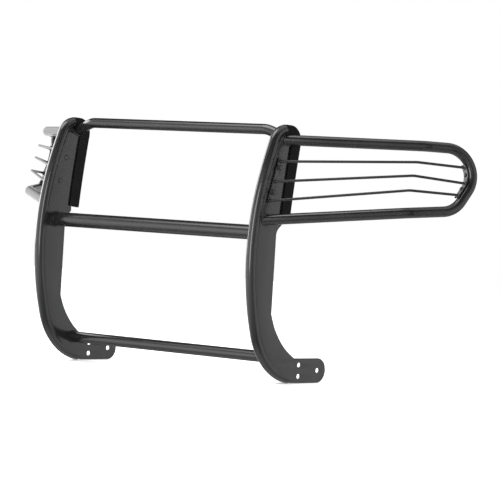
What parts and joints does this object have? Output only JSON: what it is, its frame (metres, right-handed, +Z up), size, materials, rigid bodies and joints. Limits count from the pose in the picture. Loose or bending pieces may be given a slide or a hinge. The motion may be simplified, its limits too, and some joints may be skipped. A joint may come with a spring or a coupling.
{
  "type": "front grille guard",
  "caption": "Black front grille guard for a pickup: curved uprights with bolt-on tongues, round crossbars and swept-back headlight loops with rods.",
  "frame": {"origin": "on the vehicle's centre plane, level with the bottom of the tongues, under the middle of the guard's depth", "axes": "+X to the vehicle's left, -Y out of the front of the vehicle, +Z up"},
  "size_m": [1.7646, 0.5104, 0.7689],
  "materials": {
    "coated_steel": "semi-gloss black powder coat",
    "black_rubber": "matte black extruded rubber",
    "black_hardware": "satin black fasteners"
  },
  "bodies": {
    "root": {"top_crossbar": "coated_steel", "middle_crossbar": "coated_steel", "lower_crossbar": "coated_steel", "upright_plate_left": "coated_steel", "upright_plate_right": "coated_steel", "upright_tube_left": "coated_steel", "upright_tube_right": "coated_steel", "edge_trim_left": "black_rubber", "edge_trim_right": "black_rubber", "headlight_loop_left": "coated_steel", "headlight_loop_right": "coated_steel", "inner_strip_left": "coated_steel", "inner_strip_right": "coated_steel", "outer_strip_left": "coated_steel", "outer_strip_right": "coated_steel", "guard_rod_upper_left": "coated_steel", "guard_rod_upper_right": "coated_steel", "guard_rod_middle_left": "coated_steel", "guard_rod_middle_right": "coated_steel", "guard_rod_lower_left": "coated_steel", "guard_rod_lower_right": "coated_steel", "strip_bolt_upper_left": "black_hardware", "strip_bolt_upper_right": "black_hardware", "strip_nut_upper_left": "black_hardware", "strip_nut_upper_right": "black_hardware", "strip_bolt_lower_left": "black_hardware", "strip_bolt_lower_right": "black_hardware", "strip_nut_lower_left": "black_hardware", "strip_nut_lower_right": "black_hardware", "loop_screw_upper_left": "black_hardware", "loop_screw_upper_right": "black_hardware", "loop_screw_lower_left": "black_hardware", "loop_screw_lower_right": "black_hardware"}
  },
  "joints": []
}
